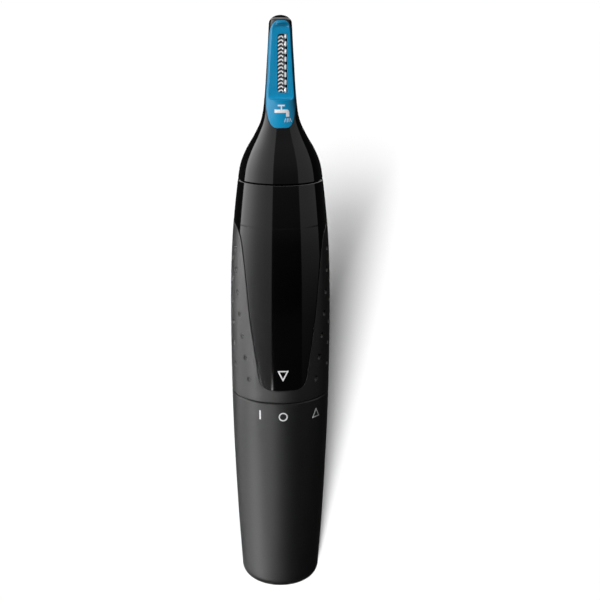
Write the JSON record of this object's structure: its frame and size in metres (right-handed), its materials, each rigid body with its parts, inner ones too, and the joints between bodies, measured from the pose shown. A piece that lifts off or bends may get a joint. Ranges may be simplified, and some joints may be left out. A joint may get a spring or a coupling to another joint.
{
  "type": "nose hair trimmer",
  "caption": "Battery nose hair trimmer: round tapered body, twist switch and pull-off battery base, soft side grips, pull-off head with a slim tube and reciprocating cutter.",
  "frame": {"origin": "middle of the flat base that it stands on", "axes": "+Z along the body to the cutting tip, -Y towards the front with the cutter slot and switch marks"},
  "size_m": [0.025, 0.025, 0.146],
  "materials": {
    "gloss_black": "piano gloss",
    "satin_black": "fine satin grain",
    "soft_black": "matte soft touch",
    "blue_plastic": "satin gloss",
    "blade_steel": "ground",
    "steel": "plated",
    "brass": "rolled strip",
    "copper": "enamelled wire",
    "dark_plastic": "moulded",
    "white_plastic": "moulded",
    "seal_rubber": "greased rubber",
    "cell_wrap": "printed sleeve",
    "ferrite": "pressed"
  },
  "bodies": {
    "handle": {"handle_shell": "gloss_black", "grip_sleeve": "soft_black", "switch_collar": "dark_plastic", "base_seal": "seal_rubber", "chassis_front": "white_plastic", "chassis_rear": "white_plastic", "chassis_screw_left": "steel", "chassis_screw_right": "steel", "positive_contact": "brass", "negative_contact": "brass", "motor_can": "steel", "motor_end_cap": "dark_plastic", "motor_bearing": "brass", "magnet_left": "ferrite", "magnet_right": "ferrite", "brush_left": "brass", "brush_right": "brass", "terminal_left": "brass", "terminal_right": "brass", "head_socket": "dark_plastic", "shaft_seal": "seal_rubber", "neck_seal": "seal_rubber"},
    "switch_ring_body": {"switch_ring": "dark_plastic", "switch_wiper": "brass"},
    "battery_base": {"battery_housing": "satin_black", "battery_cell": "cell_wrap", "base_spring": "steel", "housing_contact_strip": "brass"},
    "rotor": {"motor_shaft": "steel", "rotor_core": "ferrite", "winding_1": "copper", "winding_2": "copper", "winding_3": "copper", "commutator": "copper", "drive_cam": "white_plastic"},
    "cutting_head": {"neck_housing": "gloss_black", "guard_face": "blue_plastic", "head_chassis": "dark_plastic", "head_screw_front": "steel", "head_screw_rear": "steel", "rocker_pin": "steel", "fixed_comb": "blade_steel", "blade_spring": "steel"},
    "rocker_arm": {"rocker": "white_plastic"},
    "cutter": {"push_rod": "dark_plastic", "moving_blade": "blade_steel"}
  },
  "joints": [
    {"name": "base_twist", "type": "hinge", "parent": "handle", "child": "switch_ring_body", "pos_m": [0, 0, 0.0473], "axis": [0, 0, 1], "range_deg": [-43.6, 27.6]},
    {"name": "base_pull_off", "type": "slide", "parent": "switch_ring_body", "child": "battery_base", "axis": [0, 0, -1], "range_m": [0, 0.03]},
    {"name": "motor_spin", "type": "hinge", "parent": "handle", "child": "rotor", "pos_m": [0, 0, 0.08], "axis": [0, 0, 1], "continuous": true},
    {"name": "head_pull_off", "type": "slide", "parent": "handle", "child": "cutting_head", "axis": [0, 0, 1], "range_m": [0, 0.025]},
    {"name": "rocker_swing", "type": "hinge", "parent": "cutting_head", "child": "rocker_arm", "pos_m": [-0.0043, 0, 0.1132], "axis": [0, 1, 0], "range_deg": [-5.5, 5.5]},
    {"name": "cutter_stroke", "type": "slide", "parent": "cutting_head", "child": "cutter", "axis": [0, 0, 1], "range_m": [-0.00041, 0.00041]}
  ],
  "couplings": [
    {"joint": "rocker_swing", "follows": "cutter_stroke", "rad_per_m": -232.56}
  ]
}
